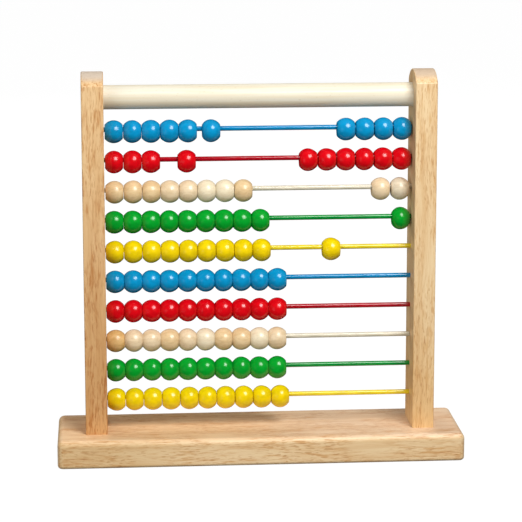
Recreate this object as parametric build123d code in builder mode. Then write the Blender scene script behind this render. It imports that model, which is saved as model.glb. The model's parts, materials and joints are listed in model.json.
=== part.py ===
from build123d import *
import os

# Bead abacus: ten rods of ten wooden beads between two posts on a base board.
# Frame: origin on the underside of the base, in its middle. X runs along the
# rods, Y runs from front to back, Z is up. All sizes are in millimetres.

# Base board
BASE_WIDTH = 305.0
BASE_DEPTH = 78.0
BASE_HEIGHT = 21.0
BASE_CORNER_RADIUS = 4.5
BASE_TOP_ROUND = 4.4
BASE_FOOT_ROUND = 2.5

# Posts
INNER_SPAN = 230.0  # between the posts' inner faces
POST_WIDTH = 16.4
POST_DEPTH = 39.5
POST_TOP = 292.4  # above the floor
POST_CROWN = 8.8  # height of the arched top
POST_CROWN_EDGE_ROUND = 1.5
POST_EDGE_ROUND = 1.0

# Top dowel
DOWEL_DIAMETER = 18.0
DOWEL_HEIGHT = 273.2
DOWEL_SOCKET = 9.0
DOWEL_END_CHAMFER = 1.0

# Rods
ROW_COUNT = 10
TOP_ROD_HEIGHT = 249.0
ROW_PITCH = 22.75
ROD_DIAMETER = 3.6
ROD_SOCKET = 9.0
ROD_END_CHAMFER = 0.4

# Play between a peg and its blind hole
GLUE_GAP = 0.05
SOCKET_BOTTOM_GAP = 0.3

# Beads: a ball with flat ends and a wide bore, hanging on its rod
BEAD_DIAMETER = 17.3
BEAD_LENGTH = 13.5
BEAD_BORE = 6.9
BEAD_RIM_ROUND = 0.5
BEAD_HANG_PLAY = 0.05  # between the rod and the top of the bore
BEAD_DROP = (BEAD_BORE - ROD_DIAMETER) / 2 - BEAD_HANG_PLAY

# Screws that hold each post, driven up through the base
SCREW_LENGTH = 45.0
SCREW_DIAMETER = 4.0
SCREW_TIP_LENGTH = 6.0
SCREW_HEAD_DIAMETER = 8.0
SCREW_RECESS = 0.6  # the heads sit this far inside the underside
SCREW_SPACING = 20.0  # along Y
COUNTERSINK_ANGLE = 90.0
COUNTERSINK_DIAMETER = 10.4
DRIVE_SLOT_WIDTH = 1.0
DRIVE_SLOT_LENGTH = 4.4
DRIVE_SLOT_DEPTH = 1.3
CLEARANCE_HOLE = 4.6
PILOT_HOLE = 4.1
PILOT_TIP_GAP = 1.0

# How the beads lie in each row, from the left post: each run of beads is
# (number of beads, clear gap before the run, clear gap between its beads).
BEAD_RUNS = {
    1: [(5, 0.6, 0.22), (1, 3.9, 0.0), (4, 87.2, 0.57)],
    2: [(3, 0.6, 0.2), (1, 13.0, 0.0), (6, 77.4, 0.54)],
    3: [(8, 0.6, 0.22), (2, 89.7, 1.1)],
    4: [(9, 0.3, 0.14), (1, 92.5, 0.0)],
    5: [(9, 0.3, 0.26), (1, 39.0, 0.0)],
    6: [(10, 0.3, 0.05)],
    7: [(10, 0.2, 0.07)],
    8: [(10, 0.2, 0.05)],
    9: [(10, 0.2, 0.05)],
    10: [(10, 0.2, 0.3)],
}

# How many neighbouring beads share one node, from left to right in each row.
NODE_SIZES = {
    1: [2, 2, 1, 1, 2, 2],
    2: [2, 1, 1, 3, 3],
    3: [3, 3, 2, 1, 1],
    4: [3, 3, 3, 1],
    5: [3, 3, 2, 1, 1],
    6: [3, 3, 3, 1],
    7: [3, 3, 3, 1],
    8: [3, 3, 3, 1],
    9: [3, 3, 3, 1],
    10: [3, 3, 3, 1],
}


def rod_height(row):
    return TOP_ROD_HEIGHT - ROW_PITCH * (row - 1)


def bead_centres(row):
    """X of each bead's centre in a row, from the left post to the right."""
    centres = []
    face = -INNER_SPAN / 2
    for count, gap_before, gap_inside in BEAD_RUNS[row]:
        for number in range(count):
            face += gap_before if number == 0 else gap_inside
            centres.append(face + BEAD_LENGTH / 2)
            face += BEAD_LENGTH
    return centres


def node_name(row, first, last):
    if first == last:
        return f"row_{row:02d}_bead_{first}"
    return f"row_{row:02d}_beads_{first}_to_{last}"


def bead_nodes(row):
    """(name, first bead number, last bead number) of each bead node in a row."""
    nodes = []
    first = 1
    for size in NODE_SIZES[row]:
        last = first + size - 1
        nodes.append((node_name(row, first, last), first, last))
        first = last + 1
    return nodes


def save(part, name):
    part.label = name
    export_step(part, f"parts/{name}.step")


os.makedirs("parts", exist_ok=True)

rows = range(1, ROW_COUNT + 1)
post_centre = (INNER_SPAN + POST_WIDTH) / 2
screw_points = [(side * post_centre, end * SCREW_SPACING / 2) for side in (-1, 1) for end in (-1, 1)]
screw_head_height = (SCREW_HEAD_DIAMETER - SCREW_DIAMETER) / 2  # a 90 degree cone
screw_tip = SCREW_RECESS + SCREW_LENGTH

# Base board: a plank with rounded corners and a rounded top edge, drilled and
# countersunk from below for the post screws.
with BuildPart() as base:
    with BuildSketch():
        RectangleRounded(BASE_WIDTH, BASE_DEPTH, BASE_CORNER_RADIUS)
    extrude(amount=BASE_HEIGHT)
    fillet(base.faces().sort_by(Axis.Z)[-1].edges(), BASE_TOP_ROUND)
    fillet(base.faces().sort_by(Axis.Z)[0].edges(), BASE_FOOT_ROUND)
    with Locations(base.faces().sort_by(Axis.Z)[0]):
        with Locations(*screw_points):
            CounterSinkHole(
                radius=CLEARANCE_HOLE / 2,
                counter_sink_radius=COUNTERSINK_DIAMETER / 2,
                counter_sink_angle=COUNTERSINK_ANGLE,
            )
save(base.part, "base")

# Posts: upright boards with an arched top. Each has blind holes for the dowel
# and the rods in its inner face, and pilot holes for the screws in its foot.
front_foot = (-POST_DEPTH / 2, BASE_HEIGHT)
back_foot = (POST_DEPTH / 2, BASE_HEIGHT)
front_shoulder = (-POST_DEPTH / 2, POST_TOP - POST_CROWN)
back_shoulder = (POST_DEPTH / 2, POST_TOP - POST_CROWN)
for name, side in (("left_post", -1), ("right_post", 1)):
    inner_face = side * INNER_SPAN / 2
    with BuildPart() as post:
        with BuildSketch(Plane.YZ.offset(side * post_centre)) as outline:
            with BuildLine():
                Polyline(front_shoulder, front_foot, back_foot, back_shoulder)
                ThreePointArc(back_shoulder, (0, POST_TOP), front_shoulder)
            make_face()
            fillet(outline.vertices().group_by(Axis.Y)[-1], POST_CROWN_EDGE_ROUND)
        extrude(amount=POST_WIDTH / 2, both=True)
        foot_edges = post.faces().sort_by(Axis.Z)[0].edges()
        side_edges = post.faces().sort_by(Axis.X)[0].edges() + post.faces().sort_by(Axis.X)[-1].edges()
        fillet([edge for edge in side_edges if edge not in foot_edges], POST_EDGE_ROUND)
        with BuildSketch(Plane.YZ.offset(inner_face)):
            with Locations((0, DOWEL_HEIGHT)):
                Circle(DOWEL_DIAMETER / 2 + GLUE_GAP)
        extrude(amount=side * (DOWEL_SOCKET + SOCKET_BOTTOM_GAP), mode=Mode.SUBTRACT)
        with BuildSketch(Plane.YZ.offset(inner_face)):
            with Locations(*[(0, rod_height(row)) for row in rows]):
                Circle(ROD_DIAMETER / 2 + GLUE_GAP)
        extrude(amount=side * (ROD_SOCKET + SOCKET_BOTTOM_GAP), mode=Mode.SUBTRACT)
        with BuildSketch(Plane.XY.offset(BASE_HEIGHT)):
            with Locations(*[point for point in screw_points if point[0] * side > 0]):
                Circle(PILOT_HOLE / 2)
        extrude(amount=screw_tip - BASE_HEIGHT + PILOT_TIP_GAP, mode=Mode.SUBTRACT)
    save(post.part, name)

# Top dowel, glued into both posts.
dowel_length = INNER_SPAN + 2 * DOWEL_SOCKET
with BuildPart() as top_dowel:
    with BuildSketch(Plane.YZ.offset(-dowel_length / 2)):
        with Locations((0, DOWEL_HEIGHT)):
            Circle(DOWEL_DIAMETER / 2)
    extrude(amount=dowel_length)
    chamfer(top_dowel.edges().filter_by(GeomType.CIRCLE), DOWEL_END_CHAMFER)
save(top_dowel.part, "top_dowel")

# Rods, one to a row.
rod_length = INNER_SPAN + 2 * ROD_SOCKET
for row in rows:
    with BuildPart() as rod:
        with BuildSketch(Plane.YZ.offset(-rod_length / 2)):
            with Locations((0, rod_height(row))):
                Circle(ROD_DIAMETER / 2)
        extrude(amount=rod_length)
        chamfer(rod.edges().filter_by(GeomType.CIRCLE), ROD_END_CHAMFER)
    save(rod.part, f"row_{row:02d}_rod")

# One bead about the origin, its bore along X: half of its section, turned.
half_length = BEAD_LENGTH / 2
bead_radius = BEAD_DIAMETER / 2
flat_radius = (bead_radius**2 - half_length**2) ** 0.5
with BuildPart() as bead:
    with BuildSketch(Plane.XY) as section:
        with BuildLine():
            Line((-half_length, BEAD_BORE / 2), (-half_length, flat_radius))
            ThreePointArc((-half_length, flat_radius), (0, bead_radius), (half_length, flat_radius))
            Line((half_length, flat_radius), (half_length, BEAD_BORE / 2))
            Line((half_length, BEAD_BORE / 2), (-half_length, BEAD_BORE / 2))
        make_face()
        fillet(section.vertices(), BEAD_RIM_ROUND)
    revolve(axis=Axis.X)

# Bead nodes: each is one bead or a few neighbouring ones on the same rod.
for row in rows:
    centres = bead_centres(row)
    bead_height = rod_height(row) - BEAD_DROP
    for name, first, last in bead_nodes(row):
        with BuildPart() as beads:
            with Locations(*[(x, 0, bead_height) for x in centres[first - 1:last]]):
                add(bead.part)
        save(beads.part, name)

# Post screws: countersunk wood screws with a cross drive, heads down.
with BuildPart() as screw:
    with BuildSketch(Plane.XZ):
        with BuildLine():
            Polyline(
                (0, SCREW_RECESS),
                (SCREW_HEAD_DIAMETER / 2, SCREW_RECESS),
                (SCREW_DIAMETER / 2, SCREW_RECESS + screw_head_height),
                (SCREW_DIAMETER / 2, screw_tip - SCREW_TIP_LENGTH),
                (0, screw_tip),
                close=True,
            )
        make_face()
    revolve(axis=Axis.Z)
    with BuildSketch(Plane.XY.offset(SCREW_RECESS)):
        Rectangle(DRIVE_SLOT_LENGTH, DRIVE_SLOT_WIDTH)
        Rectangle(DRIVE_SLOT_WIDTH, DRIVE_SLOT_LENGTH)
    extrude(amount=DRIVE_SLOT_DEPTH, mode=Mode.SUBTRACT)

with BuildPart() as post_screws:
    with Locations(*screw_points):
        add(screw.part)
save(post_screws.part, "post_screws")
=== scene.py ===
"""Looks of the bead abacus: woods, painted beads and rods, studio light and camera."""

import json
import random
from math import cos, pi, radians, sin, tau

import bpy
from mathutils import Matrix, Vector, noise


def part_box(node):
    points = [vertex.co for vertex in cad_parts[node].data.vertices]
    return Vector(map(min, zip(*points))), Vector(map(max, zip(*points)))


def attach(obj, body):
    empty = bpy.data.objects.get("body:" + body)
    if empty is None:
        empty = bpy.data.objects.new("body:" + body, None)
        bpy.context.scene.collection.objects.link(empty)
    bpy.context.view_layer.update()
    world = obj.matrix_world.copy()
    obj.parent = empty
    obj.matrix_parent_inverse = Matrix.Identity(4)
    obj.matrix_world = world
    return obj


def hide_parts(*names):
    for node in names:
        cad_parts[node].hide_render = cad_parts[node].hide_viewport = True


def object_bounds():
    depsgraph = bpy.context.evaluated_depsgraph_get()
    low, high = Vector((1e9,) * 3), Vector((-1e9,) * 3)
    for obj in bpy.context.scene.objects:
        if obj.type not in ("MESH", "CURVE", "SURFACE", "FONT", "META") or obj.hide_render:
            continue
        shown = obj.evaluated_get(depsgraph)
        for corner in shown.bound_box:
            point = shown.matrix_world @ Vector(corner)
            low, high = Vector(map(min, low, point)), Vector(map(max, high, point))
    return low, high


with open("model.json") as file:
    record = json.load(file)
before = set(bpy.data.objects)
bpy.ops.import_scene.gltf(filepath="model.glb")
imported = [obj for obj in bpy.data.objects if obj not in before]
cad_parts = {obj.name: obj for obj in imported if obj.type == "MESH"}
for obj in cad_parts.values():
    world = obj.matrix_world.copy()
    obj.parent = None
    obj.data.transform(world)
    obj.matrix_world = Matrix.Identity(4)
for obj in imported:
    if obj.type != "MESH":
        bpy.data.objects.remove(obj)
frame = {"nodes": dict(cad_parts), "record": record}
cad_low, cad_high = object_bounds()

MM = 0.001
ROW_COUNT = 10
ROW_PAINTS = ["blue", "red", "natural", "green", "yellow"]  # from the top row down, and then again

# Camera: where it stands from the middle of the base's underside, in metres, and its aim in degrees
CAMERA_PLACE = (-0.1172, -1.6128, 0.4838)
CAMERA_YAW = 4.22
CAMERA_PITCH = 10.14
CAMERA_ROLL = 0.05
CAMERA_LENS = 151.3
CAMERA_SENSOR = 36.0
CAMERA_SHIFT_Y = -0.117

# Studio: the world's brightness on matt surfaces, and the floor's size and depth under the object, in
# metres, its grey and its own brightness
WORLD_LEVEL = 0.19
FLOOR_SIZE = 24.0
FLOOR_DROP = 0.00005
FLOOR_GREY = (0.06, 0.06, 0.06)
FLOOR_GLOW = 0.98
WHITE = (1.0, 1.0, 1.0)

# Beads, in millimetres
BEAD_RADIUS = 8.65
BORE_RADIUS = 3.45
BORE_LIP = 0.35  # how far the bore's edge is softened
LIP_BEND = BORE_LIP * 0.3  # how far the softened edge keeps from its corner
FLAT_RADIUS = (5.0, 5.6)  # least and most, where the flat ends' rim meets the crown
LEAST_GIRTH = 0.985  # the smallest bead's share of the full radius
MOST_SHORTENING = 0.06
MOST_LEAN = 0.05
MOST_TILT = radians(0.5)
SQUARENESS = (1.9, 2.2)  # least and most; 2 makes a ball
RIM_RADIUS = 0.8
RIM_TURN = radians(50)  # how far the rim's round turns
RIM_STEPS = 4
CROWN_STEPS = 20
BEAD_TURNS = 56  # facets round a bead
UNEVENNESS = 0.10  # how deep the hand-turned unevenness goes
UNEVEN_CELL = 7.0
UNEVEN_FROM = 4.5  # the radius at which it sets in, so that the bore stays round
UNEVEN_FADE = 2.0  # over how much radius it grows to its full depth
UNEVEN_SPREAD = 50.0  # how far apart two beads' places in the noise may lie

# Enamel colours of the beads, and the rods' own shades of them
BEAD_ENAMEL = {
    "blue": (0.001, 0.285, 0.57),
    "red": (0.70, 0.001, 0.006),
    "green": (0.001, 0.345, 0.024),
    "yellow": (0.88, 0.64, 0.001),
}
ROD_PAINT = {
    "blue": (0.001, 0.23, 0.50),
    "red": (0.42, 0.002, 0.010),
    "natural": (0.74, 0.68, 0.52),
    "green": (0.001, 0.27, 0.035),
    "yellow": (0.86, 0.66, 0.02),
}

# What the marks in the boards' wood multiply its colour by
FIGURE_SHADE = (0.93, 0.87, 0.80)
FIBRE_SHADE = (0.92, 0.86, 0.80)
PORE_SHADE = (0.70, 0.50, 0.34)
END_SHADE = (0.84, 0.82, 0.80)

# Their size along the grain and across it, in millimetres
FIGURE_CELL = (110, 6)
STREAK_CELL = (17, 1.6)
CROWD_CELL = (55, 12)  # patches where streaks and pores crowd together
FIBRE_CELL = (34, 1.1)
PORE_CELL = (6.5, 0.65)
RING_CELL = (2.6, 0.9, 2.6)  # end grain, along X, Y and Z
WANDER_CELL = (70, 36)  # the sideways drift that makes the lines wavy
WANDER_REACH = 8

# How squarely a surface has to face upwards to show the top's colour, its pinker wood and painted light, and
# along the grain to show end grain
TOP_FACING = (0.55, 0.97)
END_FACING = (0.72, 0.92)
TOP_REACH = (-60, 70)  # where the top's colour drifts, in millimetres along the grain

# Each board: the axis its grain runs along, its colours near and far along that axis, the reach over which
# one drifts into the other, what its streaks multiply its colour by, its end grain, and its top if that
# differs, near and far: pinker wood, made lighter with painted light
BOARDS = {
    "base": {
        "axis": 0,
        "near": (0.77, 0.545, 0.285),
        "far": (0.86, 0.64, 0.37),
        "reach": (-120, -30),
        "streak": (0.82, 0.65, 0.48),
        "end": (0.78, 0.56, 0.33),
        # the top's colours: pinker wood, made lighter with painted light
        "top_wood_and_light_near": (0.87, 0.61, 0.36),
        "top_wood_and_light_far": (0.85, 0.635, 0.44),
    },
    "left_post": {
        "axis": 2,
        "near": (0.67, 0.385, 0.16),
        "far": (0.82, 0.57, 0.30),
        "reach": (40, 270),
        "streak": (0.74, 0.54, 0.36),
        "end": (0.66, 0.54, 0.42),
    },
    "right_post": {
        "axis": 2,
        "near": (0.80, 0.54, 0.26),
        "far": (0.83, 0.62, 0.355),
        "reach": (30, 120),
        "streak": (0.88, 0.76, 0.62),
        "end": (0.62, 0.47, 0.33),
    },
}

# The top dowel's wood, and the screws' steel where it is dull and where it is rubbed
DOWEL_PALE = (0.79, 0.745, 0.61)
DOWEL_FIGURE = (0.75, 0.66, 0.48)
DOWEL_STREAK = (0.68, 0.55, 0.36)
DOWEL_SPECK = (0.50, 0.36, 0.20)
STEEL_DULL = (0.50, 0.48, 0.43)
STEEL_RUBBED = (0.68, 0.67, 0.62)

# Clear-lacquered beads: light and dark wood of each tone, and the tones in the natural rows from the left
BEAD_TONES = {
    "pale": ((0.86, 0.75, 0.53), (0.79, 0.66, 0.44)),
    "cream": ((0.83, 0.66, 0.43), (0.74, 0.56, 0.33)),
    "tan": ((0.81, 0.60, 0.33), (0.72, 0.50, 0.25)),
    "honey": ((0.79, 0.50, 0.20), (0.68, 0.40, 0.13)),
    "bone": ((0.78, 0.68, 0.50), (0.68, 0.57, 0.40)),
}
NATURAL_ROWS = {
    3: "tan tan tan cream cream pale pale tan cream bone".split(),
    8: "honey cream cream tan cream pale tan tan pale cream".split(),
}


def smoothstep(value):
    value = min(1.0, max(0.0, value))
    return value * value * (3 - 2 * value)


# ---------------------------------------------------------------- materials


class Nodes:
    """A new material's node tree, with short calls for the nodes that the materials use."""

    def __init__(self, name):
        self.material = bpy.data.materials.new(name)
        self.material.use_nodes = True
        self.tree = self.material.node_tree
        self.shader = self.tree.nodes["Principled BSDF"]
        self.coords = self.tree.nodes.new("ShaderNodeTexCoord")
        self.place = self.coords.outputs["Object"]

    def feed(self, socket, value):
        if isinstance(value, bpy.types.NodeSocket):
            self.tree.links.new(value, socket)
        elif socket.type == "RGBA":
            socket.default_value = (*value[:3], 1.0)
        else:
            socket.default_value = value

    def add(self, kind, inputs=None, **settings):
        node = self.tree.nodes.new(kind)
        for key, value in settings.items():
            setattr(node, key, value)
        for key, value in (inputs or {}).items():
            self.feed(node.inputs[key], value)
        return node

    def noise(self, cell, detail=2.0, rough=0.5, distortion=0.0):
        """Noise from 0 to 1 in cells of the given size along X, Y and Z, in millimetres."""
        scale = [1 / (size * MM) for size in cell]
        place = self.add("ShaderNodeMapping", {"Vector": self.place, "Scale": scale})
        inputs = {"Scale": 1.0, "Detail": detail, "Roughness": rough, "Distortion": distortion}
        inputs["Vector"] = place.outputs["Vector"]
        return self.add("ShaderNodeTexNoise", inputs).outputs["Fac"]

    def wander(self, cell, reach):
        """From here on, patterns drift sideways by up to the reach along X, Y and Z, in millimetres."""
        scale = [1 / (size * MM) for size in cell]
        place = self.add("ShaderNodeMapping", {"Vector": self.place, "Scale": scale})
        inputs = {"Vector": place.outputs["Vector"], "Scale": 1.0, "Detail": 1.0}
        drift = self.add("ShaderNodeTexNoise", inputs)
        move = self.add("ShaderNodeVectorMath", operation="MULTIPLY_ADD")
        self.feed(move.inputs[0], drift.outputs["Color"])
        self.feed(move.inputs[1], [distance * MM for distance in reach])
        self.feed(move.inputs[2], self.place)
        self.place = move.outputs["Vector"]

    def progress(self, axis, low, high):
        """How far along one of the object's axes a place is: 0 below low and 1 above high, in millimetres."""
        split = self.add("ShaderNodeSeparateXYZ", {"Vector": self.coords.outputs["Object"]})
        return self.ramp(split.outputs[axis], low * MM, high * MM)

    def ramp(self, value, low, high, top=1.0):
        """0 below low, top above high, and smooth between them."""
        inputs = {"Value": value, "From Min": low, "From Max": high, "To Max": top}
        return self.add("ShaderNodeMapRange", inputs, interpolation_type="SMOOTHSTEP").outputs["Result"]

    def span(self, value, low, high):
        """Stretches a value from 0 to 1 over low to high."""
        inputs = {"Value": value, "To Min": low, "To Max": high}
        return self.add("ShaderNodeMapRange", inputs).outputs["Result"]

    def times(self, first, second):
        node = self.add("ShaderNodeMath", operation="MULTIPLY")
        self.feed(node.inputs[0], first)
        self.feed(node.inputs[1], second)
        return node.outputs["Value"]

    def mix(self, share, first, second):
        node = self.add("ShaderNodeMix", data_type="RGBA")
        self.feed(node.inputs[0], share)
        self.feed(node.inputs[6], first)
        self.feed(node.inputs[7], second)
        return node.outputs[2]

    def tint(self, share, colour, shade):
        """Multiplies a colour by a shade, as far as the share says."""
        node = self.add("ShaderNodeMix", data_type="RGBA", blend_type="MULTIPLY")
        self.feed(node.inputs[0], share)
        self.feed(node.inputs[6], colour)
        self.feed(node.inputs[7], shade)
        return node.outputs[2]

    def facing(self, axis):
        """How squarely the surface faces along one of the object's axes, from 0 to 1."""
        split = self.add("ShaderNodeSeparateXYZ", {"Vector": self.coords.outputs["Normal"]})
        node = self.add("ShaderNodeMath", operation="ABSOLUTE")
        self.feed(node.inputs[0], split.outputs[axis])
        return node.outputs["Value"]

    def bump(self, height, depth, strength):
        """Shades the surface as if the height, from 0 to 1, were that deep in millimetres."""
        inputs = {"Height": height, "Distance": depth * MM, "Strength": strength}
        self.feed(self.shader.inputs["Normal"], self.add("ShaderNodeBump", inputs).outputs["Normal"])

    def see_through_from_behind(self):
        """Hides the back of the surface, so that it doesn't cover what stands on it in a view from below."""
        side = self.add("ShaderNodeNewGeometry").outputs["Backfacing"]
        node = self.add("ShaderNodeMixShader")
        clear = self.add("ShaderNodeBsdfTransparent")
        self.feed(node.inputs[0], side)
        self.tree.links.new(self.shader.outputs["BSDF"], node.inputs[1])
        self.tree.links.new(clear.outputs["BSDF"], node.inputs[2])
        self.tree.links.new(node.outputs["Shader"], self.tree.nodes["Material Output"].inputs["Surface"])

    def set(self, **values):
        for key, value in values.items():
            self.feed(self.shader.inputs[key.replace("_", " ")], value)


def along(axis, length, width):
    """Size of a pattern that runs along one axis: its length, and its width the other two ways."""
    return [length if index == axis else width for index in range(3)]


def darker(colour, share):
    return tuple(channel * share for channel in colour)


def board_wood(name, axis, near, far, reach, streak, end, top_wood_and_light_near=None, top_wood_and_light_far=None):
    """Lacquered board with soft figure, wavy streaks, fine fibres, short dark pores and end grain, and where
    given a lighter top: pinker wood with painted light.
    """
    n = Nodes(name)
    colour = n.mix(n.progress(axis, *reach), near, far)
    # Upward-facing surfaces get the top's colour: pinker wood, and painted light that the top catches
    if top_wood_and_light_near:
        top = n.mix(n.progress(axis, *TOP_REACH), top_wood_and_light_near, top_wood_and_light_far)
        colour = n.mix(n.ramp(n.facing(2), *TOP_FACING), colour, top)
    n.wander(along(axis, *WANDER_CELL), along(axis, 0, WANDER_REACH))
    figure = n.ramp(n.noise(along(axis, *FIGURE_CELL), detail=3, distortion=0.5), 0.38, 0.64)
    colour = n.tint(figure, colour, FIGURE_SHADE)
    streaks = n.noise(along(axis, *STREAK_CELL), detail=3, rough=0.62)
    crowding = n.ramp(n.noise(along(axis, *CROWD_CELL), detail=1.5), 0.28, 0.54)
    colour = n.tint(n.times(n.ramp(streaks, 0.47, 0.68), crowding), colour, streak)
    fibres = n.noise(along(axis, *FIBRE_CELL), detail=4, rough=0.66)
    colour = n.tint(n.ramp(fibres, 0.42, 0.74), colour, FIBRE_SHADE)
    pores = n.ramp(n.noise(along(axis, *PORE_CELL), detail=1.5), 0.56, 0.64, top=0.7)
    colour = n.tint(n.times(pores, crowding), colour, PORE_SHADE)
    rings = n.noise(RING_CELL, detail=3, rough=0.7)
    end_colour = n.tint(n.ramp(rings, 0.45, 0.75), end, END_SHADE)
    colour = n.mix(n.ramp(n.facing(axis), *END_FACING), colour, end_colour)
    n.set(Base_Color=colour, Roughness=n.span(fibres, 0.36, 0.60))
    n.set(Coat_Weight=0.12, Coat_Roughness=0.3)
    n.bump(fibres, depth=0.09, strength=0.5)
    return n.material


def dowel_wood():
    """Pale sanded round bar, grain along X, with a few faint streaks and specks."""
    n = Nodes("dowel_wood")
    figure = n.ramp(n.noise(along(0, 150, 4.2), detail=3, distortion=0.4), 0.36, 0.68)
    colour = n.mix(figure, DOWEL_PALE, DOWEL_FIGURE)
    streaks = n.noise(along(0, 30, 0.7), detail=3.5, rough=0.62)
    colour = n.mix(n.ramp(streaks, 0.48, 0.80, top=0.42), colour, DOWEL_STREAK)
    specks = n.ramp(n.noise(along(0, 3.2, 0.5), detail=1), 0.70, 0.76, top=0.5)
    colour = n.mix(specks, colour, DOWEL_SPECK)
    n.set(Base_Color=colour, Roughness=n.span(streaks, 0.36, 0.52))
    n.set(Coat_Weight=0.08, Coat_Roughness=0.3)
    n.bump(streaks, depth=0.06, strength=0.5)
    return n.material


def bead_enamel(paint):
    """Thick glossy enamel on turned wood: faint clouds in the colour, and a slight ripple over the grain."""
    n = Nodes(f"{paint}_bead")
    clouds = n.ramp(n.noise([6, 4, 4], detail=2.5), 0.36, 0.68)
    n.set(Base_Color=n.mix(clouds, BEAD_ENAMEL[paint], darker(BEAD_ENAMEL[paint], 0.86)))
    n.set(Roughness=n.span(n.noise([1.6, 1.6, 1.6], detail=3), 0.19, 0.30))
    n.set(Coat_Weight=0.6, Coat_Roughness=0.17, Specular_IOR_Level=0.2)
    n.bump(n.noise([5, 2, 2], detail=2), depth=0.05, strength=0.12)
    return n.material


def bead_lacquer(tone):
    """Turned wood under clear lacquer, its grain along the bore."""
    light, dark = BEAD_TONES[tone]
    n = Nodes(f"natural_bead_{tone}")
    figure = n.ramp(n.noise([17, 3.4, 3.4], detail=2.5, distortion=0.9), 0.36, 0.68)
    lines = n.noise([8, 0.6, 0.6], detail=3, rough=0.6)
    colour = n.mix(figure, light, dark)
    colour = n.mix(n.ramp(lines, 0.50, 0.74, top=0.45), colour, darker(dark, 0.66))
    n.set(Base_Color=colour, Roughness=n.span(lines, 0.28, 0.42))
    n.set(Coat_Weight=0.35, Coat_Roughness=0.16)
    n.bump(lines, depth=0.05, strength=0.4)
    return n.material


def rod_paint(paint):
    """Smooth gloss paint on thin steel rod, a little uneven along its length."""
    n = Nodes(f"{paint}_rod")
    runs = n.ramp(n.noise([11, 2, 2], detail=2), 0.38, 0.66)
    n.set(Base_Color=n.mix(runs, ROD_PAINT[paint], darker(ROD_PAINT[paint], 0.84)))
    n.set(Roughness=n.span(n.noise([3, 1, 1], detail=2), 0.10, 0.18))
    n.set(Coat_Weight=0.3, Coat_Roughness=0.06, Specular_IOR_Level=0.4)
    n.bump(n.noise([4, 0.8, 0.8], detail=2), depth=0.02, strength=0.15)
    return n.material


def screw_steel():
    """Zinc-plated steel, a little yellowed and rubbed."""
    n = Nodes("screw_steel")
    wear = n.noise([0.8, 0.8, 0.8], detail=3)
    n.set(Base_Color=n.mix(wear, STEEL_DULL, STEEL_RUBBED), Metallic=0.7)
    n.set(Roughness=n.span(wear, 0.24, 0.44))
    n.bump(wear, depth=0.02, strength=0.5)
    return n.material


# ---------------------------------------------------------------- beads


def bead_profile(length, radius, flat_radius, power, lean):
    """Half-section of a bead as a closed loop of (x, r) points, in millimetres: a flat end with a softened
    bore, a rim, a crown, and the same again. power is the crown's squareness, 2 for a ball, and lean is how
    far its widest place lies off the middle."""
    half = length / 2
    shoulder = flat_radius - RIM_RADIUS * sin(RIM_TURN)
    rim_depth = RIM_RADIUS * (1 - cos(RIM_TURN))
    end = [
        (-half + BORE_LIP, BORE_RADIUS),
        (-half + LIP_BEND, BORE_RADIUS + LIP_BEND),
        (-half, BORE_RADIUS + BORE_LIP),
        (-half, (BORE_RADIUS + BORE_LIP + shoulder) / 2),
    ]
    for step in range(RIM_STEPS):
        turn = RIM_TURN * step / RIM_STEPS
        end.append((-half + RIM_RADIUS * (1 - cos(turn)), shoulder + RIM_RADIUS * sin(turn)))
    crown = []
    reach = half - rim_depth
    drop = 1 - (flat_radius / radius) ** power  # how much of the crown's power curve is used up at the rim
    for step in range(CROWN_STEPS + 1):
        share = -cos(pi * step / CROWN_STEPS)
        bent = share + lean * (1 - share**2)
        crown.append((share * reach, radius * (1 - drop * abs(bent) ** 2) ** (1 / power)))
    return end + crown + [(-x, r) for x, r in reversed(end)]


def bead_mesh(name, centre, length, seed):
    """One bead in its place, no two quite alike: its girth, squareness, tilt and hand-turned unevenness."""
    dice = random.Random(seed)
    radius = BEAD_RADIUS * dice.uniform(LEAST_GIRTH, 1.0)
    profile = bead_profile(
        length=length - dice.uniform(0.0, MOST_SHORTENING),
        radius=radius,
        flat_radius=dice.uniform(*FLAT_RADIUS),
        power=dice.uniform(*SQUARENESS),
        lean=dice.uniform(-MOST_LEAN, MOST_LEAN),
    )
    spin = dice.uniform(0, tau)
    tilt = Matrix.Rotation(dice.uniform(-MOST_TILT, MOST_TILT), 3, "Z")
    field = Vector([dice.uniform(0, UNEVEN_SPREAD) for axis in range(3)])
    verts = []
    for x, r in profile:
        for step in range(BEAD_TURNS):
            angle = spin + tau * step / BEAD_TURNS
            place = Vector((x, r * cos(angle), r * sin(angle)))
            unevenness = 0.5 + noise.noise(field + place / UNEVEN_CELL)
            girth = r - UNEVENNESS * unevenness * smoothstep((r - UNEVEN_FROM) / UNEVEN_FADE)
            place = Vector((x, girth * cos(angle), girth * sin(angle)))
            verts.append(centre + tilt @ place * MM)
    faces = []
    for ring in range(len(profile)):
        after = (ring + 1) % len(profile)
        for step in range(BEAD_TURNS):
            beside = (step + 1) % BEAD_TURNS
            corners = (ring, beside), (after, beside), (after, step), (ring, step)
            faces.append([row * BEAD_TURNS + column for row, column in corners])
    mesh = bpy.data.meshes.new(name)
    mesh.from_pydata(verts, [], faces)
    mesh.shade_smooth()
    return mesh


def bead_numbers(node):
    """Row, first bead and last bead, as a bead node's name states them."""
    words = node.split("_")
    return int(words[1]), int(words[3]), int(words[-1])


def bead_centres(node, bead_length):
    """Where the beads of a node are, worked out from its box."""
    low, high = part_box(node)
    row, first, last = bead_numbers(node)
    pitch = (high.x - low.x - bead_length) / max(last - first, 1)
    middle = (low + high) / 2
    start = low.x + bead_length / 2
    return [Vector((start + pitch * index, middle.y, middle.z)) for index in range(last - first + 1)]


def paint_of(row):
    return ROW_PAINTS[(row - 1) % len(ROW_PAINTS)]


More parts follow.
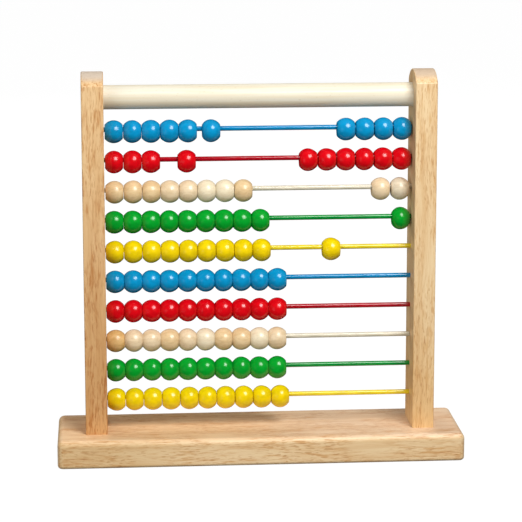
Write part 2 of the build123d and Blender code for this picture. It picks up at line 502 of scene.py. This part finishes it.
def make_beads():
    materials = {paint: bead_enamel(paint) for paint in BEAD_ENAMEL}
    materials.update({tone: bead_lacquer(tone) for tone in BEAD_TONES})
    bodies = frame["record"]["behaviour"]["bodies"]
    body_of = {node: body for body, nodes in bodies.items() for node in nodes}
    bead_nodes = sorted(node for node in frame["nodes"] if "_bead" in node)
    # A node that holds a single bead gives the length of all of them
    low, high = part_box(next(node for node in bead_nodes if "_bead_" in node))
    bead_length = high.x - low.x
    for node in bead_nodes:
        row, first, last = bead_numbers(node)
        paint = paint_of(row)
        for number, centre in enumerate(bead_centres(node, bead_length), first):
            name = f"bead_{row:02d}_{number:02d}"
            mesh = bead_mesh(name, centre, bead_length / MM, seed=row * 100 + number)
            bead = bpy.data.objects.new(name, mesh)
            bpy.context.scene.collection.objects.link(bead)
            finish = NATURAL_ROWS[row][number - 1] if paint == "natural" else paint
            bead.data.materials.append(materials[finish])
            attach(bead, body_of[node])
            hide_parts(node)
            bead.visible_glossy = False  # mirrored neighbours would pale the enamel


def give(node, material):
    """Puts a material on a CAD node in place of the plain one."""
    slots = frame["nodes"][node].data.materials
    slots.clear()
    slots.append(material)


def finish_cad_pieces():
    for node, look in BOARDS.items():
        give(node, board_wood(f"{node}_wood", **look))
    give("top_dowel", dowel_wood())
    give("post_screws", screw_steel())
    rods = {paint: rod_paint(paint) for paint in ROW_PAINTS}
    for row in range(1, ROW_COUNT + 1):
        give(f"row_{row:02d}_rod", rods[paint_of(row)])


# ---------------------------------------------------------------- studio


def soft_light(name, azimuth, elevation, distance, size, level, glossy=True):
    """A round soft light aimed at the object's middle. Azimuth turns from the front to the right, and level
    is the brightness that it gives a white surface that faces it."""
    data = bpy.data.lights.new(name, "AREA")
    data.shape = "DISK"
    data.size = size
    data.energy = level * (pi * distance) ** 2  # watts over this square give a white surface its brightness
    light = bpy.data.objects.new(name, data)
    turn, rise = radians(azimuth), radians(elevation)
    away = Vector((sin(turn) * cos(rise), -cos(turn) * cos(rise), sin(rise)))
    light.location = (cad_low + cad_high) / 2 + away * distance
    light.rotation_euler = away.to_track_quat("Z", "Y").to_euler()
    light.visible_glossy = glossy
    bpy.context.scene.collection.objects.link(light)


def make_lights():
    soft_light("key", azimuth=27, elevation=46, distance=1.35, size=0.80, level=1.09)
    fill = {"size": 1.4, "glossy": False}
    soft_light("left_fill", azimuth=-48, elevation=3, distance=1.9, level=0.48, **fill)
    soft_light("back_fill", azimuth=200, elevation=28, distance=1.8, level=0.50, **fill)


def make_world():
    """Dim light from all round for matt surfaces, white to the camera, and dark to reflections."""
    world = bpy.data.worlds.new("studio")
    bpy.context.scene.world = world
    world.use_nodes = True
    nodes = world.node_tree.nodes
    links = world.node_tree.links
    paths = nodes.new("ShaderNodeLightPath")
    strength = nodes.new("ShaderNodeMapRange")
    strength.inputs["To Min"].default_value = WORLD_LEVEL
    strength.inputs["To Max"].default_value = 1.0
    links.new(paths.outputs["Is Camera Ray"], strength.inputs["Value"])
    links.new(strength.outputs["Result"], nodes["Background"].inputs["Strength"])
    nodes["Background"].inputs["Color"].default_value = (*WHITE, 1.0)
    world.cycles_visibility.glossy = False


def make_floor():
    """Plain pale floor that fills the view, bright by itself so that it only shows a faint contact shadow."""
    half = FLOOR_SIZE / 2
    mesh = bpy.data.meshes.new("floor")
    corners = (-half, -half), (half, -half), (half, half), (-half, half)
    mesh.from_pydata([(x, y, -FLOOR_DROP) for x, y in corners], [], [(0, 1, 2, 3)])
    floor = bpy.data.objects.new("floor", mesh)
    bpy.context.scene.collection.objects.link(floor)
    n = Nodes("floor")
    n.set(Base_Color=FLOOR_GREY, Roughness=1.0, Specular_IOR_Level=0.0)
    n.set(Emission_Color=WHITE, Emission_Strength=FLOOR_GLOW)
    n.see_through_from_behind()
    mesh.materials.append(n.material)
    floor.visible_diffuse = False
    floor.visible_glossy = False


def make_camera():
    data = bpy.data.cameras.new("camera")
    data.sensor_width = CAMERA_SENSOR
    data.lens = CAMERA_LENS
    data.shift_y = CAMERA_SHIFT_Y
    camera = bpy.data.objects.new("camera", data)
    yaw = Matrix.Rotation(radians(-CAMERA_YAW), 4, "Z")
    pitch = Matrix.Rotation(radians(90 - CAMERA_PITCH), 4, "X")
    roll = Matrix.Rotation(radians(-CAMERA_ROLL), 4, "Z")
    camera.matrix_world = Matrix.Translation(CAMERA_PLACE) @ yaw @ pitch @ roll
    bpy.context.scene.collection.objects.link(camera)
    bpy.context.scene.camera = camera


make_camera()
make_beads()
finish_cad_pieces()
make_lights()
make_world()
make_floor()
bpy.context.scene.view_settings.view_transform = "Standard"
